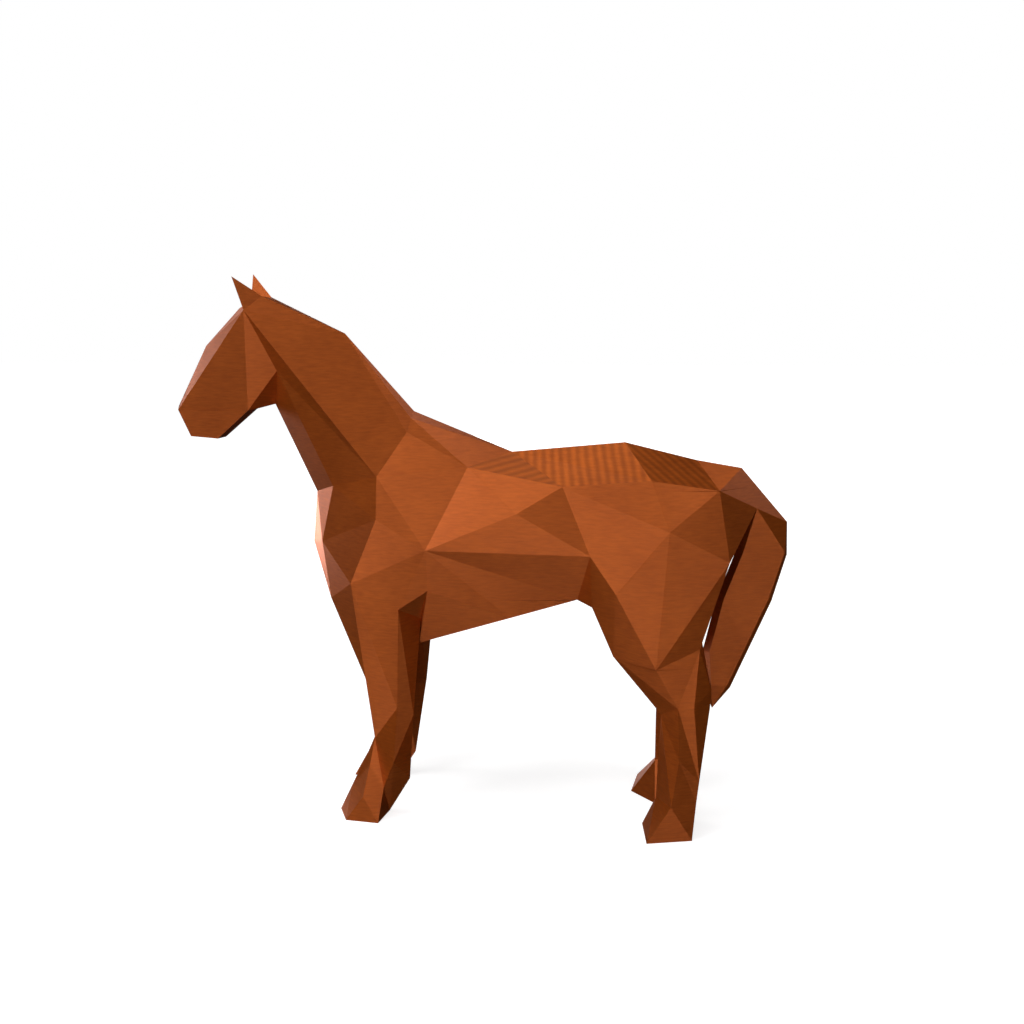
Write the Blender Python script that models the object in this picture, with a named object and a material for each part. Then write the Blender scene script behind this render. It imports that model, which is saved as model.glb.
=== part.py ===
"""Faceted standing horse, printed in one piece.

Axes: +X toward the tail, +Y toward the horse's right side, +Z up, in metres.
The origin lies on the ground under the middle of the figure's bounding box.

The figure is a faceted sculpture. Each region names its landmarks as (along, out, up) in
hundredths of the figure's height, and flat facets are fanned or stripped between them.
The left side is laid out once. The right side is its mirror image with its own stance.
"""
import bmesh
import bpy
from mathutils import Vector

# Overall size: soles to the tip of the left ear
HEIGHT = 0.200
SHARE = HEIGHT / 100.0

# Plastic
BROWN = (0.285, 0.082, 0.026, 1.0)
ROUGHNESS = 0.40

# Ear, in hundredths of the height
EAR_LEAN = (-1.9, 0.3, 6.0)

# Tail sections from the dock down: (front along, rear along, up, half width in front, behind)
TAIL_SECTIONS = (
    (48.0, 57.3, 50.2, 3.0, 1.5),
    (44.9, 54.9, 41.4, 2.5, 1.0),
    (42.7, 50.8, 31.4, 2.5, 1.0),
    (43.2, 48.0, 24.6, 1.5, 1.0),
)
TAIL_TIP = (44.8, 0.0, 20.4)
TAIL_EDGE_INSET = 0.6       # how far the side edges lie in from the front and rear ridges
TAIL_EDGE_RISE = 0.7        # and how far above them

# Stance of the right side against the left, in hundredths of the height
FORE_STANCE = (-1.8, 0.0, 0.0)
RIGHT_STANCE = {
    "ear tip": (0.5, 0.1, 0.9),
    "armpit": (-0.6, 0.0, 0.0),
    "ergot": (-2.8, 0.0, -2.1),
    "hoof ridge": (-1.1, 0.0, 0.0),
    "toe": (-1.5, 0.1, 0.0),
    "hock inner": (-0.5, 0.0, 0.0),
    "hock front": (-0.5, 0.0, 0.0),
    "hind toe": (-2.2, -0.2, 0.0),
    "hind heel": (-2.2, -0.2, 0.0),
    "hind side": (-1.8, 0.0, 0.0),
    "hind rear": (-1.0, 0.0, 0.0),
}


def midline():
    """Landmarks on the plane of symmetry, from the brow over the back and under the belly."""
    return {
        "brow": (-44.2, 0, 94.4),
        "poll": (-38.2, 0, 96.3),
        "crest": (-24.1, 0, 89.8),
        "withers": (-11.3, 0, 75.6),
        "saddle": (7.0, 0, 68.3),
        "croup": (27.7, 0, 70.3),
        "rump": (40.7, 0, 67.2),
        "dock": (48.7, 0, 65.9),
        "tail top": (57.1, 0, 56.2),
        "tail root": (48.6, 0, 55.6),
        "seat": (44.3, 0, 47.0),
        "crotch": (33.0, 0, 42.5),
        "groin": (19.7, 0, 41.8),
        "belly": (7.6, 0, 38.2),
        "girth": (-9.5, 0, 32.6),
        "brisket": (-27.2, 0, 39.8),
        "sternum": (-31.2, 0, 50.6),
        "breast": (-30.3, 0, 60.3),
        "throat": (-37.9, 0, 76.7),
        "nose": (-57.0, 0, 76.2),
        "bridge": (-51.0, 0, 87.5),
    }


def head():
    """Landmarks of one side of the head."""
    return {
        "temple": (-41.7, 4.5, 94.0),
        "ear front": (-42.4, 1.2, 95.2),
        "ear back": (-38.8, 2.5, 96.5),
        "cheek": (-36.0, 4.0, 83.0),
        "jaw": (-42.4, 2.5, 75.6),
        "nostril": (-56.2, 2.2, 75.6),
        "lip": (-54.0, 2.0, 70.6),
        "chin": (-48.7, 2.0, 70.2),
    }


def forehand():
    """Landmarks of one side of the neck, chest and shoulder."""
    return {
        "withers edge": (-11.4, 2.5, 74.5),
        "withers side": (-11.7, 4.5, 72.1),
        "shoulder": (-16.2, 10.0, 64.5),
        "neck base": (-25.9, 4.3, 61.9),
        "breast side": (-28.7, 3.0, 51.2),
        "chest corner": (-26.5, 5.5, 40.9),
        "arm": (-16.1, 11.5, 57.0),
        "arm front": (-21.3, 10.5, 44.9),
        "elbow": (-12.2, 12.0, 40.7),
        "elbow back": (-6.7, 12.5, 44.5),
        "armpit": (-8.9, 8.0, 38.2),
        "arm inner front": (-22.0, 4.8, 36.5),
        "arm inner back": (-12.0, 5.2, 34.4),
    }


def barrel():
    """Landmarks of one side of the barrel and belly."""
    return {
        "blade": (-0.2, 7.0, 66.1),
        "hub": (-6.8, 13.5, 52.0),
        "rib": (9.3, 13.0, 58.8),
        "loin": (17.1, 10.0, 63.3),
        "flank": (22.2, 12.5, 51.5),
        "belly front": (-9.5, 7.0, 33.2),
        "belly side": (7.7, 8.5, 38.9),
        "belly rear": (19.7, 7.0, 42.3),
    }


def quarter():
    """Landmarks of one hindquarter down to the gaskin."""
    return {
        "hip": (32.6, 9.5, 64.5),
        "rump side": (44.4, 7.5, 62.7),
        "dock side": (51.3, 3.5, 59.1),
        "haunch": (35.8, 12.8, 56.1),
        "buttock": (46.3, 10.5, 50.6),
        "thigh front": (26.8, 13.8, 45.1),
        "thigh low": (34.0, 13.8, 31.8),
        "stifle": (22.5, 9.5, 41.6),
        "shank": (26.4, 9.0, 32.5),
        "shank inner": (31.5, 7.2, 30.0),
        "thigh inner front": (25.0, 5.0, 39.4),
        "thigh inner back": (41.0, 4.6, 41.0),
        "gaskin back": (41.6, 11.0, 35.0),
    }


def foreleg():
    """Landmarks of one foreleg from the forearm to the hoof."""
    return {
        "forearm": (-19.1, 9.5, 26.5),
        "knee front": (-17.8, 9.0, 15.0),
        "knee side": (-12.7, 12.0, 22.2),
        "knee back": (-10.0, 10.5, 20.5),
        "knee inner": (-14.2, 7.8, 18.5),
        "fetlock": (-13.3, 13.0, 12.1),
        "ergot": (-11.2, 9.0, 7.4),
        "pastern": (-18.5, 10.5, 10.2),
        "pastern inner": (-15.8, 7.8, 9.0),
        "coronet": (-19.4, 12.5, 4.8),
        "coronet back": (-15.8, 11.0, 6.2),
        "hoof ridge": (-22.6, 8.0, 5.2),
        "toe": (-25.1, 7.7, 0),
        "hoof side": (-22.8, 12.5, 0),
        "hoof rear": (-16.5, 13.1, 0),
        "heel": (-15.6, 7.4, 0),
    }


def hindleg():
    """Landmarks of one hind leg from the hock to the hoof."""
    return {
        "hock front": (38.0, 13.5, 24.8),
        "hock inner": (35.1, 9.5, 22.3),
        "hock side": (40.8, 13.0, 24.8),
        "hock point": (43.8, 10.5, 27.6),
        "hock back": (43.7, 10.5, 24.2),
        "hock hollow": (39.8, 8.4, 23.5),
        "cannon": (38.4, 14.0, 15.3),
        "cannon back": (42.1, 12.5, 11.1),
        "hind ergot": (41.4, 9.2, 9.5),
        "hind coronet": (37.2, 14.5, 6.8),
        "hind ridge": (34.6, 8.5, 6.0),
        "hind bulb": (41.7, 12.5, 7.1),
        "hind toe": (32.2, 7.0, 0),
        "hind side": (33.0, 15.1, 0),
        "hind rear": (41.1, 13.0, 0),
        "hind heel": (36.9, 1.9, 0),
    }


def tail():
    """Landmarks of one side of the hanging tail, worked out from its sections."""
    marks = {"tail tip": TAIL_TIP}
    for number, (front, rear, up, half_front, half_rear) in enumerate(TAIL_SECTIONS):
        level = up + TAIL_EDGE_RISE
        marks[f"tail front {number}"] = (front, 0, up)
        marks[f"tail inner {number}"] = (front + 2.0 * TAIL_EDGE_INSET, half_front, level)
        marks[f"tail outer {number}"] = (rear - TAIL_EDGE_INSET, half_rear, level)
        marks[f"tail rear {number}"] = (rear, 0, up)
    return marks


def fan(centre, *rim):
    """Triangles from one landmark to each pair of neighbours on its rim."""
    return [(centre, rim[step], rim[step + 1]) for step in range(len(rim) - 1)]


def strip(first, second):
    """Triangles zigzagging between two rows of equally many landmarks."""
    facets = []
    for step in range(len(first) - 1):
        facets.append((first[step], second[step], first[step + 1]))
        facets.append((second[step], second[step + 1], first[step + 1]))
    return facets


def head_facets():
    """Facets of one side of the head and neck."""
    return (
        fan("temple", "shoulder", "cheek", "jaw", "nostril", "bridge", "brow", "ear front")
        + fan("ear tip", "temple", "ear front", "ear back", "temple")
        + fan("poll", "crest", "ear back", "ear front", "brow")
        + fan("nostril", "bridge", "nose", "lip", "chin", "jaw")
        + fan("crest", "ear back", "temple", "shoulder", "withers side", "withers edge", "withers")
        + fan("neck base", "shoulder", "cheek", "throat", "breast", "breast side", "arm", "shoulder")
        + [("cheek", "jaw", "throat")]
    )


def barrel_facets():
    """Facets of one side of the chest, barrel and belly."""
    return (
        fan("hub", "arm", "shoulder", "blade", "rib", "flank", "belly rear", "belly side",
            "elbow back", "elbow", "arm front", "arm")
        + fan("blade", "rib", "loin", "saddle", "withers edge", "withers side", "shoulder")
        + fan("breast side", "breast", "sternum", "chest corner", "arm front", "arm")
        + fan("elbow back", "elbow", "armpit", "belly front", "belly side")
        + strip(("girth", "belly", "groin"), ("belly front", "belly side", "belly rear"))
        + [
            ("withers", "withers edge", "saddle"),
            ("loin", "rib", "flank"),
            ("sternum", "brisket", "chest corner"),
        ]
    )


def quarter_facets():
    """Facets of one hindquarter."""
    return (
        fan("haunch", "flank", "loin", "hip", "rump side", "buttock", "thigh low",
            "thigh front", "flank")
        + fan("hip", "loin", "saddle", "croup", "rump", "rump side")
        + fan("rump side", "rump", "dock", "dock side", "buttock")
        + fan("stifle", "belly rear", "flank", "thigh front", "shank", "thigh inner front",
              "belly rear")
        + fan("thigh inner front", "belly rear", "groin", "crotch", "thigh inner back",
              "shank inner", "shank")
        + fan("thigh inner back", "crotch", "seat", "buttock", "gaskin back", "hock point",
              "hock hollow", "shank inner")
        + fan("thigh low", "thigh front", "shank", "hock front", "gaskin back", "buttock")
    )


def foreleg_facets():
    """Facets of one foreleg."""
    return (
        fan("arm front", "chest corner", "forearm", "knee front", "knee side", "elbow")
        + fan("arm inner front", "brisket", "chest corner", "forearm", "knee inner",
              "arm inner back", "brisket")
        + fan("arm inner back", "knee inner", "knee back", "armpit", "belly front", "girth",
              "brisket")
        + fan("knee back", "armpit", "elbow", "knee side", "fetlock", "ergot", "knee inner")
        + fan("knee front", "knee side", "fetlock", "coronet back", "pastern", "hoof ridge",
              "pastern inner", "knee inner", "forearm")
        + fan("pastern inner", "hoof ridge", "toe", "heel", "ergot", "knee inner")
        + fan("coronet", "pastern", "coronet back", "hoof rear", "hoof side", "hoof ridge",
              "pastern")
        + fan("heel", "ergot", "fetlock", "coronet back", "hoof rear")
        + [("hoof ridge", "hoof side", "toe"), ("toe", "hoof side", "hoof rear", "heel")]
    )


def hindleg_facets():
    """Facets of one hind leg below the gaskin."""
    return (
        fan("hock front", "shank", "hock inner", "cannon", "cannon back", "hock side",
            "gaskin back")
        + fan("hock inner", "shank", "shank inner", "hock hollow", "hind ergot", "hind ridge",
              "hind coronet", "cannon")
        + fan("hock side", "gaskin back", "hock point", "hock back", "cannon back")
        + fan("hock back", "hock point", "hock hollow", "hind ergot", "cannon back")
        + fan("hind bulb", "cannon", "cannon back", "hind ergot", "hind rear", "hind coronet",
              "cannon")
        + fan("hind heel", "hind rear", "hind ergot", "hind ridge", "hind toe")
        + fan("hind side", "hind rear", "hind coronet", "hind ridge", "hind toe")
        + [("hind toe", "hind side", "hind rear", "hind heel")]
    )


def tail_facets():
    """Facets of one side of the tail."""
    facets = (
        fan("tail top", "dock", "dock side", "tail outer 0", "tail rear 0")
        + fan("dock side", "tail outer 0", "tail inner 0", "tail root", "seat", "buttock")
        + [("tail root", "tail inner 0", "tail front 0")]
    )
    rows = [
        [f"tail {edge} {number}" for edge in ("rear", "outer", "inner", "front")]
        for number in range(len(TAIL_SECTIONS))
    ]
    for upper, lower in zip(rows, rows[1:]):
        facets += strip(upper, lower)
    return facets + fan("tail tip", *rows[-1])


def crossing_facets():
    """Facets that run across the plane of symmetry, named by their left corners."""
    return [("nose", "lip"), ("lip", "chin"), ("chin", "jaw"), ("jaw", "throat")]


def right_side(left):
    """Landmarks of the right side, whose legs stand a little ahead of the left ones."""
    right = {}
    for name, mark in left.items():
        usual = FORE_STANCE if name in foreleg() else (0.0, 0.0, 0.0)
        right[name] = Vector(mark) + Vector(RIGHT_STANCE.get(name, usual))
    return right


def left_side():
    """Every landmark off the midline on the left side."""
    marks = {}
    for region in (head, forehand, barrel, quarter, foreleg, hindleg, tail):
        marks.update(region())
    marks["ear tip"] = tuple(Vector(marks["temple"]) + Vector(EAR_LEAN))
    return marks


def corner_points():
    """Corners of both sides in metres, keyed by side and landmark name."""
    left = left_side()
    sides = {"left": left, "right": right_side(left)}
    points = {}
    for side, marks in sides.items():
        for name, (along, out, up) in (marks | midline()).items():
            across = -out if side == "left" else out
            points[side, name] = Vector((along, across, up)) * SHARE
    return points


def figure_mesh():
    """Closed faceted mesh of the whole figure."""
    points = corner_points()
    facets = (
        head_facets() + barrel_facets() + quarter_facets()
        + foreleg_facets() + hindleg_facets() + tail_facets()
    )
    shape = bmesh.new()
    corners = {}

    def corner(side, name):
        """Vertex of a landmark, shared by both sides on the plane of symmetry."""
        place = points[side, name]
        key = (side, name) if place.y else name
        if key not in corners:
            corners[key] = shape.verts.new(place)
        return corners[key]

    for side in ("left", "right"):
        for facet in facets:
            shape.faces.new([corner(side, name) for name in facet])
    for first, second in crossing_facets():
        loop = [("left", first), ("left", second), ("right", second), ("right", first)]
        shape.faces.new(dict.fromkeys(corner(side, name) for side, name in loop))
    bmesh.ops.recalc_face_normals(shape, faces=shape.faces)
    centre_on_ground(shape)
    mesh = bpy.data.meshes.new("horse")
    shape.to_mesh(mesh)
    shape.free()
    return mesh


def centre_on_ground(shape):
    """Put the middle of the bounding box over the origin and the soles on the ground."""
    for axis in range(2):
        places = [vertex.co[axis] for vertex in shape.verts]
        middle = (min(places) + max(places)) / 2.0
        for vertex in shape.verts:
            vertex.co[axis] -= middle


def brown_plastic():
    """Brown printed plastic with a satin surface."""
    material = bpy.data.materials.new("brown plastic")
    material.use_nodes = True
    shader = material.node_tree.nodes["Principled BSDF"]
    shader.inputs["Base Color"].default_value = BROWN
    shader.inputs["Roughness"].default_value = ROUGHNESS
    shader.inputs["Metallic"].default_value = 0.0
    return material


def main():
    """Build the figure."""
    for item in list(bpy.data.objects):
        bpy.data.objects.remove(item, do_unlink=True)
    mesh = figure_mesh()
    mesh.materials.append(brown_plastic())
    bpy.context.scene.collection.objects.link(bpy.data.objects.new("horse", mesh))


main()
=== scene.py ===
"""Studio picture of the faceted brown horse, printed in fine layers."""

import math

import bpy
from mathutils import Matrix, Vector


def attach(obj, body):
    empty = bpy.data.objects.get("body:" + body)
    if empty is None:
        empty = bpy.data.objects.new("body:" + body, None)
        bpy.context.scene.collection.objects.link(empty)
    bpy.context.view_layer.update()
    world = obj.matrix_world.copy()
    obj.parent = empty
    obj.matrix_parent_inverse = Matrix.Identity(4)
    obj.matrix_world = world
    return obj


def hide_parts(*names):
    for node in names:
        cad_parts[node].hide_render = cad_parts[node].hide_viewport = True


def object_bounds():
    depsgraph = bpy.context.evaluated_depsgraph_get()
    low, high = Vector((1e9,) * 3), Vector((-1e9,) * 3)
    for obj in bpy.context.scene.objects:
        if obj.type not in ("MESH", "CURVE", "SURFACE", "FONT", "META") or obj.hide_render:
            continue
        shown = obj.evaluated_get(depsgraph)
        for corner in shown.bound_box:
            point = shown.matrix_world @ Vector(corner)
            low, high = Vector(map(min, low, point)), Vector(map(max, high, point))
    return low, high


MM = 0.001
UP = (0.0, 0.0, 1.0)
WHITE = (1.0, 1.0, 1.0, 1.0)

# Print: every layer is cut at its seam and once more in its middle
LAYER = 0.30 * MM           # height of a printed layer
GROOVE = 0.022 * MM         # how far the seam between two layers lies in from the facet
CUT = LAYER / 2.0           # height from one cut to the next

# Rounding that the cutting allows
CORNER_DECIMALS = 7         # corners whose places in metres agree this far are one
CORNER_SLACK = 1e-5 * MM    # an edge isn't cut this close below its upper corner
LEVEL_SLACK = 1e-6          # in cuts, when a level is rounded down or up
LEVEL_MATCH = 1e-5          # in cuts, how near a point must be to lie on a level

# Camera, placed from the tip of the nose; its sensor and lens are in millimetres
SENSOR = 36.0
LENS = 36.91
CAMERA_BEHIND_NOSE = 0.175
CAMERA_AWAY = 0.383
CAMERA_UP = 0.179
CAMERA_YAW = math.radians(7.0)
CAMERA_PITCH = math.radians(9.57)
CAMERA_NEAREST = 0.01
CAMERA_FARTHEST = 20.0

# Plastic, as linear colours
BROWN = (0.52, 0.110, 0.013, 1.0)
DARK_BROWN = (0.36, 0.070, 0.008, 1.0)
REFRACTION = 1.46
SMOOTHEST = 0.41            # lowest and highest roughness
ROUGHEST = 0.49
SILK = 0.6                  # share of the colour that shines with the gloss of the pigment
LAYER_STRETCH = 0.9         # how far the layers stretch the gloss up and down the facets

# Grain of the plastic: fine streaks along the layers, mixed with broad blotches
STREAKS = (250.0, 250.0, 1600.0)        # for each metre along X, Y and Z
BLOTCHES = 45.0                         # for each metre
GRAIN_DETAIL = 3.0
STREAK_SHARE = 0.6
BLOTCH_SHARE = 0.4
GRAIN_DARK = 0.3                        # grain at which the plastic is darkest, and brightest
GRAIN_BRIGHT = 0.7
GRAIN_BUMP = 0.25
GRAIN_HEIGHT = 0.05 * MM

# Bands of painted shade on the flat top of the back, standing for the shade of the wide layer steps of
# the print
BAND_SHADE_TINT = (0.20, 0.15, 0.10, 1.0)     # what the colour is multiplied by in a band
BAND_SHINE = (1.0, 0.62, 0.36, 1.0)     # tint of the gloss on the banded facets
BAND_DEPTH = 0.38           # share of the tint in the darkest line of a band
BAND_WANDER = 2.5           # how far the bands stray from straight, in radians of their wave
TOP_FACING = 0.8            # how squarely a banded facet faces up
TOP_HEIGHT = 120.0 * MM     # how high its middle lies at least

# Zones of the bands from front to rear: the last place of the zone along the body, the direction
# from band to band on the left side, and the pitch
BAND_ZONES = (
    ("withers", 0.0 * MM, None, None),
    ("loin", 25.0 * MM, (-0.60, 0.80), 3.6 * MM),
    ("back", 60.0 * MM, (0.99, 0.14), 3.1 * MM),
    ("croup", 85.0 * MM, (0.72, 0.69), 2.9 * MM),
)

# Sockets of a Mix node for colours, by number: its sockets for other values have the same names
MIX_SHARE = 0
MIX_COLOUR = 6
MIX_TINT = 7
MIX_RESULT = 2

# Light: softboxes round the figure, each with its azimuth from the front towards the head side,
# its height in degrees and its power in watts
STUDIO_MIDDLE = (0.0, 0.0, 0.1)
SOFTBOX_SIDE = 0.44
SOFTBOX_AWAY = 1.5
SOFTBOXES = {
    "high_left": (75.0, 58.0, 7.3),
    "left": (50.0, 20.0, 6.2),
    "high_right": (-60.0, 58.0, 3.6),
    "high_front": (30.0, 58.0, 3.2),
    "top": (20.0, 80.0, 1.0),
    "front": (10.0, 20.0, 2.7),
    "low_front": (-10.0, 5.0, 2.5),
    "floor_right": (-30.0, -12.0, 1.9),
    "floor_front": (0.0, -30.0, 2.1),
    "rear": (170.0, 5.0, 1.8),
    "high_rear": (175.0, 48.0, 3.0),
    "rear_right": (-135.0, 38.0, 2.1),
    "floor_left": (55.0, -18.0, 1.2),
    "edge": (118.0, 3.0, 9.0),
}
EDGE_SIDE = 0.25
FLAG_AWAY = 0.30
FLAG_WIDTH = 0.40
FLAG_FOOT = 0.02
FLAG_TOP = 0.095

# Surroundings
STUDIO_DARK = 0.01          # what the figure sees of the white surroundings
FLOOR_SIDE = 12.0
FLOOR_GREY = (0.6, 0.6, 0.6, 1.0)
FLOOR_ROUGHNESS = 0.9
FLOOR_SHINE = 0.74          # glow of the floor under the figure
SHINE_GROWS = 0.2           # distances from the middle where the glow starts to grow and is full
SHINE_FULL = 0.8

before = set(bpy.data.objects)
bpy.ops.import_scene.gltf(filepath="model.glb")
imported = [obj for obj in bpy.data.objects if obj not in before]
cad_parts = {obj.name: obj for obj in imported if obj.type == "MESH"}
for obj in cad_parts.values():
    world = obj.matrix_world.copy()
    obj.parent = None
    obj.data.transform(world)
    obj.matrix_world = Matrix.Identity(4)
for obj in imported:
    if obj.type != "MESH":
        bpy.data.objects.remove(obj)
start_low, start_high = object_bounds()


def sides(loop):
    """Neighbouring corners round a facet."""
    return zip(loop, loop[1:] + loop[:1])


def edge(first, second):
    """An edge by its corner numbers, the same from either end."""
    return min(first, second), max(first, second)


def welded(mesh):
    """Corner places without doubles, and each facet's corner numbers and normal."""
    numbers = {}
    places = []
    facets = []
    for facet in mesh.polygons:
        loop = []
        for vertex in facet.vertices:
            place = mesh.vertices[vertex].co
            key = tuple(round(value, CORNER_DECIMALS) for value in place)
            if key not in numbers:
                numbers[key] = len(places)
                places.append(place.copy())
            loop.append(numbers[key])
        facets.append((loop, facet.normal.copy()))
    return places, facets


def edge_normals(facets):
    """The sum of the two facets' normals at every edge."""
    normals = {}
    for loop, normal in facets:
        for first, second in sides(loop):
            key = edge(first, second)
            normals[key] = normals.get(key, Vector()) + normal
    return normals


def cut_edge(places, low, high, inward):
    """Levels that an edge crosses from low to high, each with the number of a new place there."""
    row = []
    level = math.floor(low.z / CUT + LEVEL_SLACK) + 1
    while level * CUT < high.z - CORNER_SLACK:
        share = (level * CUT - low.z) / (high.z - low.z)
        place = low.lerp(high, share)
        seam = level % 2 == 0
        if seam:
            place += inward
        places.append(place)
        row.append((level, len(places) - 1))
        level += 1
    return row


def slabs(ring):
    """A facet's corners and cuts, shared out to the slabs between one level and the next."""
    lowest = math.floor(min(level for level, _ in ring) + LEVEL_SLACK)
    highest = math.ceil(max(level for level, _ in ring) - LEVEL_SLACK)
    found = {slab: [] for slab in range(lowest, max(highest, lowest + 1))}
    for level, point in ring:
        slab = math.floor(level + LEVEL_SLACK)
        if slab in found:
            found[slab].append(point)
        on_level = abs(level - slab) < LEVEL_MATCH
        if on_level and slab - 1 in found:
            found[slab - 1].append(point)
    return [slab for slab in found.values() if len(slab) > 2]


def layered_mesh(source):
    """Places and polygons of a solid cut into printed layers, and each polygon's facet number."""
    places, facets = welded(source)
    cuts = {}
    for key, normal in edge_normals(facets).items():
        low, high = sorted((places[corner] for corner in key), key=lambda place: place.z)
        cuts[key] = cut_edge(places, low, high, -normal.normalized() * GROOVE)

    polygons = []
    marks = []
    for number, (loop, _) in enumerate(facets):
        ring = []
        for first, second in sides(loop):
            ring.append((places[first].z / CUT, first))
            row = cuts[edge(first, second)]
            rising = places[first].z < places[second].z
            ring.extend(row if rising else row[::-1])
        for slab in slabs(ring):
            polygons.append(slab)
            marks.append(number)
    return places, polygons, marks


def node(tree, kind, **values):
    """Shader node with its sockets or settings filled in."""
    made = tree.nodes.new(kind)
    for name, value in values.items():
        if name.replace("_", " ") in made.inputs:
            made.inputs[name.replace("_", " ")].default_value = value
        else:
            setattr(made, name, value)
    return made


def feed(tree, sockets, values):
    """Links or sets a node's sockets in turn."""
    for socket, value in zip(sockets, values):
        if isinstance(value, bpy.types.NodeSocket):
            tree.links.new(value, socket)
        else:
            socket.default_value = value


def maths(tree, operation, *values):
    """Result of an operation on numbers."""
    made = node(tree, "ShaderNodeMath", operation=operation)
    feed(tree, made.inputs, values)
    return made.outputs["Value"]


def vector_maths(tree, operation, *values, result="Vector"):
    """Result of an operation on vectors: a vector, or a number where Value is asked for."""
    made = node(tree, "ShaderNodeVectorMath", operation=operation)
    feed(tree, made.inputs, values)
    return made.outputs[result]


def stretched(tree, value, **ends):
    """Value carried over from one range to another; an end that isn't given is 0 or 1."""
    made = node(tree, "ShaderNodeMapRange", **ends)
    tree.links.new(value, made.inputs["Value"])
    return made.outputs["Result"]


def up_the_facet(tree):
    """Direction that climbs a facet square to its printed layers."""
    facing = node(tree, "ShaderNodeNewGeometry").outputs["True Normal"]
    level = vector_maths(tree, "CROSS_PRODUCT", facing, UP)
    climb = vector_maths(tree, "CROSS_PRODUCT", facing, level)
    return vector_maths(tree, "NORMALIZE", climb)


def noise(tree, place, scale):
    """Soft noise at a place; the scale is the number of spots along one unit of the place."""
    made = node(tree, "ShaderNodeTexNoise", Scale=scale, Detail=GRAIN_DETAIL)
    tree.links.new(place, made.inputs["Vector"])
    return made.outputs["Fac"]


def browned(tree, grain):
    """Brown of the plastic, from dark to bright along its grain."""
    tint = node(tree, "ShaderNodeValToRGB")
    dark, bright = tint.color_ramp.elements
    dark.position = GRAIN_DARK
    dark.color = DARK_BROWN
    bright.position = GRAIN_BRIGHT
    bright.color = BROWN
    tree.links.new(grain, tint.inputs["Fac"])
    return tint.outputs["Color"]


def banded(tree, colour, place, blotches, direction, pitch):
    """Colour crossed by darker bands of painted shade, one to each pitch along the direction."""
    waves = [value * math.tau / pitch for value in direction]
    along = vector_maths(tree, "DOT_PRODUCT", place, waves, result="Value")
    strayed = maths(tree, "MULTIPLY_ADD", blotches, BAND_WANDER, along)
    wave = maths(tree, "SINE", strayed)
    share = stretched(tree, wave, From_Min=-1.0, From_Max=1.0, To_Max=BAND_DEPTH)
    # Painted shade: the colour is darkened in bands, standing for the shade of the layer steps
    shade = node(tree, "ShaderNodeMix", data_type="RGBA", blend_type="MULTIPLY")
    tree.links.new(share, shade.inputs[MIX_SHARE])
    tree.links.new(colour, shade.inputs[MIX_COLOUR])
    shade.inputs[MIX_TINT].default_value = BAND_SHADE_TINT
    return shade.outputs[MIX_RESULT]


def plastic(name, band_direction=None, band_pitch=None):
    """Satin brown plastic with a faint grain along the layers and, where asked for, bands of painted
    shade.
    """
    material = bpy.data.materials.new(name)
    material.use_nodes = True
    tree = material.node_tree
    link = tree.links.new
    shader = tree.nodes["Principled BSDF"]

    place = node(tree, "ShaderNodeTexCoord").outputs["Object"]
    streaks_place = node(tree, "ShaderNodeMapping", Scale=STREAKS)
    link(place, streaks_place.inputs["Vector"])
    streaks = noise(tree, streaks_place.outputs["Vector"], 1.0)
    blotches = noise(tree, place, BLOTCHES)
    blotch_part = maths(tree, "MULTIPLY", blotches, BLOTCH_SHARE)
    grain = maths(tree, "MULTIPLY_ADD", streaks, STREAK_SHARE, blotch_part)

    colour = browned(tree, grain)
    if band_direction:
        colour = banded(tree, colour, place, blotches, band_direction, band_pitch)
        shader.inputs["Specular Tint"].default_value = BAND_SHINE
    link(colour, shader.inputs["Base Color"])

    link(stretched(tree, streaks, To_Min=SMOOTHEST, To_Max=ROUGHEST), shader.inputs["Roughness"])
    bump = node(tree, "ShaderNodeBump", Strength=GRAIN_BUMP, Distance=GRAIN_HEIGHT)
    link(grain, bump.inputs["Height"])
    link(bump.outputs["Normal"], shader.inputs["Normal"])
    shader.inputs["IOR"].default_value = REFRACTION
    shader.inputs["Metallic"].default_value = SILK
    shader.inputs["Anisotropic"].default_value = LAYER_STRETCH
    link(up_the_facet(tree), shader.inputs["Tangent"])
    return material


def banded_materials():
    """Plastic for each banded zone and side of the back, found by zone and side."""
    found = {}
    for zone, _, direction, pitch in BAND_ZONES:
        if direction:
            along, out = direction
            found[zone, "left"] = plastic(zone + "_left", (along, out, 0.0), pitch)
            found[zone, "right"] = plastic(zone + "_right", (along, -out, 0.0), pitch)
    return found


def band_zone(centre, normal):
    """Zone and side of the back that a facet lies in, or None if it doesn't lie on its flat top."""
    if normal.z < TOP_FACING or centre.z < TOP_HEIGHT:
        return None
    side = "left" if centre.y < 0.0 else "right"
    for zone, end, _, _ in BAND_ZONES:
        if centre.x < end:
            return zone, side
    return None


def horse():
    """The visible figure, which stands for the CAD solid."""
    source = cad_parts["horse"].data
    places, polygons, marks = layered_mesh(source)
    mesh = bpy.data.meshes.new("layered_horse")
    mesh.from_pydata(places, [], polygons)
    mesh.update()
    mesh.materials.append(plastic("layered_plastic"))
    material_numbers = {}
    for zone, material in banded_materials().items():
        material_numbers[zone] = len(mesh.materials)
        mesh.materials.append(material)
    zones = [band_zone(facet.center, facet.normal) for facet in source.polygons]
    for polygon, mark in zip(mesh.polygons, marks):
        polygon.material_index = material_numbers.get(zones[mark], 0)
    piece = bpy.data.objects.new("layered_horse", mesh)
    bpy.context.scene.collection.objects.link(piece)
    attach(piece, "root")
    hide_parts("horse")


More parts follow.
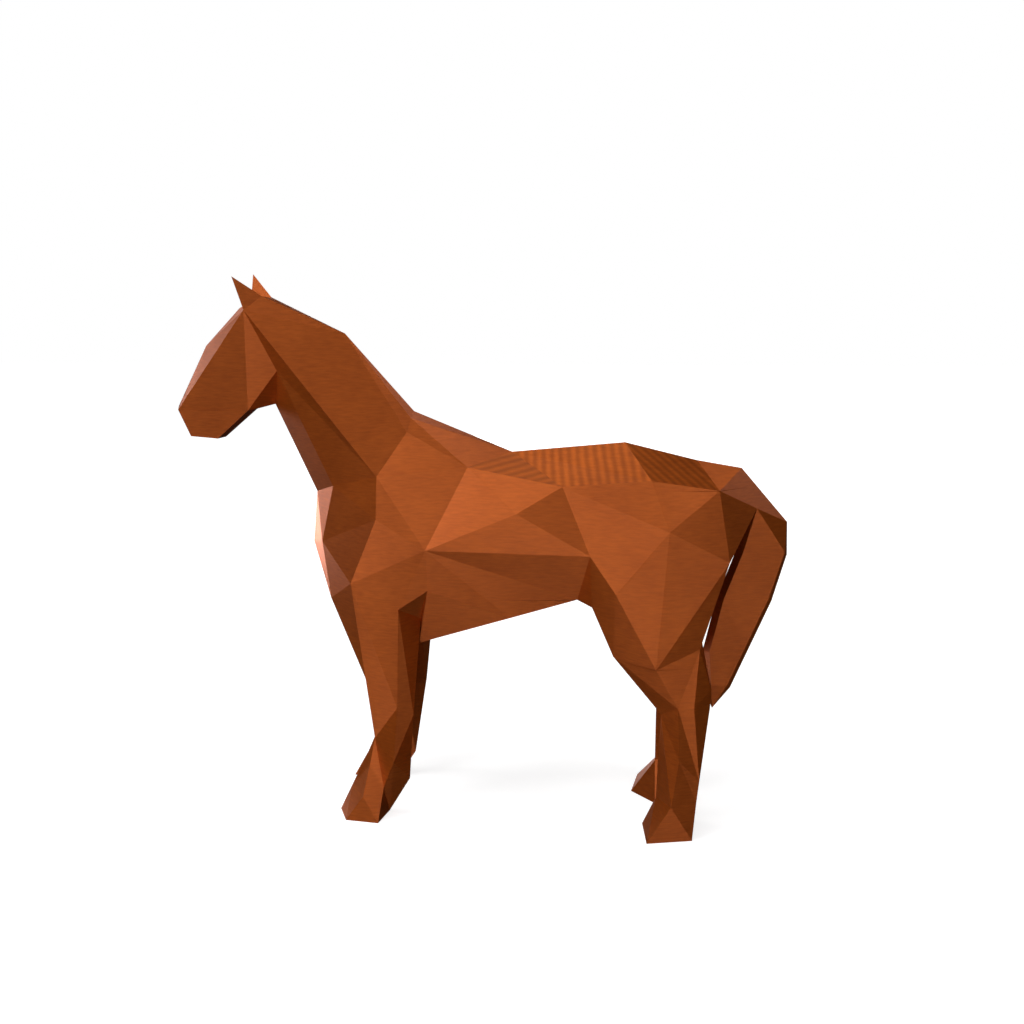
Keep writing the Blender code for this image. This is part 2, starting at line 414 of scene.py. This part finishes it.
def camera():
    """The photograph's point of view."""
    data = bpy.data.cameras.new("camera")
    data.sensor_width = SENSOR
    data.lens = LENS
    data.clip_start = CAMERA_NEAREST
    data.clip_end = CAMERA_FARTHEST
    item = bpy.data.objects.new("camera", data)
    item.location = (start_low.x + CAMERA_BEHIND_NOSE, -CAMERA_AWAY, CAMERA_UP)
    item.rotation_euler = (math.radians(90.0) - CAMERA_PITCH, 0.0, CAMERA_YAW)
    bpy.context.scene.collection.objects.link(item)
    bpy.context.scene.camera = item


def pale_floor():
    """Pale floor that glows a little less under the figure, and lights nothing itself."""
    bpy.ops.mesh.primitive_plane_add(size=FLOOR_SIDE, location=(0.0, 0.0, 0.0))
    floor = bpy.context.object
    floor.name = "floor"
    material = bpy.data.materials.new("floor_white")
    material.use_nodes = True
    tree = material.node_tree
    shader = tree.nodes["Principled BSDF"]
    shader.inputs["Base Color"].default_value = FLOOR_GREY
    shader.inputs["Roughness"].default_value = FLOOR_ROUGHNESS
    shader.inputs["Specular IOR Level"].default_value = 0.0
    shader.inputs["Emission Color"].default_value = WHITE
    place = node(tree, "ShaderNodeTexCoord").outputs["Object"]
    away = vector_maths(tree, "LENGTH", place, result="Value")
    shine = stretched(tree, away, From_Min=SHINE_GROWS, From_Max=SHINE_FULL, To_Min=FLOOR_SHINE)
    tree.links.new(shine, shader.inputs["Emission Strength"])
    floor.data.materials.append(material)
    floor.visible_diffuse = False
    floor.visible_glossy = False
    floor.visible_shadow = False


def surroundings():
    """White for the camera, and nearly dark for the light that reaches the figure."""
    world = bpy.data.worlds.new("studio")
    bpy.context.scene.world = world
    world.use_nodes = True
    tree = world.node_tree
    background = tree.nodes["Background"]
    background.inputs["Color"].default_value = WHITE
    seen = node(tree, "ShaderNodeLightPath").outputs["Is Camera Ray"]
    tree.links.new(stretched(tree, seen, To_Min=STUDIO_DARK), background.inputs["Strength"])


def softbox(name, azimuth, height, watts):
    """Square studio light aimed at the middle of the figure."""
    data = bpy.data.lights.new(name, "AREA")
    data.size = SOFTBOX_SIDE
    data.energy = watts
    turn = math.radians(azimuth)
    lift = math.radians(height)
    outward = Vector((-math.sin(turn) * math.cos(lift), -math.cos(turn) * math.cos(lift), math.sin(lift)))
    item = bpy.data.objects.new(name, data)
    item.location = Vector(STUDIO_MIDDLE) + outward * SOFTBOX_AWAY
    item.rotation_euler = outward.to_track_quat("Z", "Y").to_euler()
    item.visible_camera = False
    bpy.context.scene.collection.objects.link(item)
    return item


def softboxes():
    """All the softboxes; the edge light is small and gives only gloss."""
    lights = {name: softbox(name, *setting) for name, setting in SOFTBOXES.items()}
    lights["edge"].visible_diffuse = False
    lights["edge"].data.size = EDGE_SIDE


def flag():
    """Upright card that nobody sees, whose shadow keeps the edge light off the legs."""
    turn = math.radians(SOFTBOXES["edge"][0])
    middle = (FLAG_FOOT + FLAG_TOP) / 2.0
    place = (-math.sin(turn) * FLAG_AWAY, -math.cos(turn) * FLAG_AWAY, middle)
    bpy.ops.mesh.primitive_plane_add(size=1.0, location=place)
    card = bpy.context.object
    card.name = "flag"
    card.scale = (FLAG_WIDTH, FLAG_TOP - FLAG_FOOT, 1.0)
    card.rotation_euler = (math.radians(90.0), 0.0, -turn)
    card.visible_camera = False
    card.visible_diffuse = False
    card.visible_glossy = False


horse()
camera()
pale_floor()
surroundings()
softboxes()
flag()

bpy.context.scene.view_settings.view_transform = "Standard"
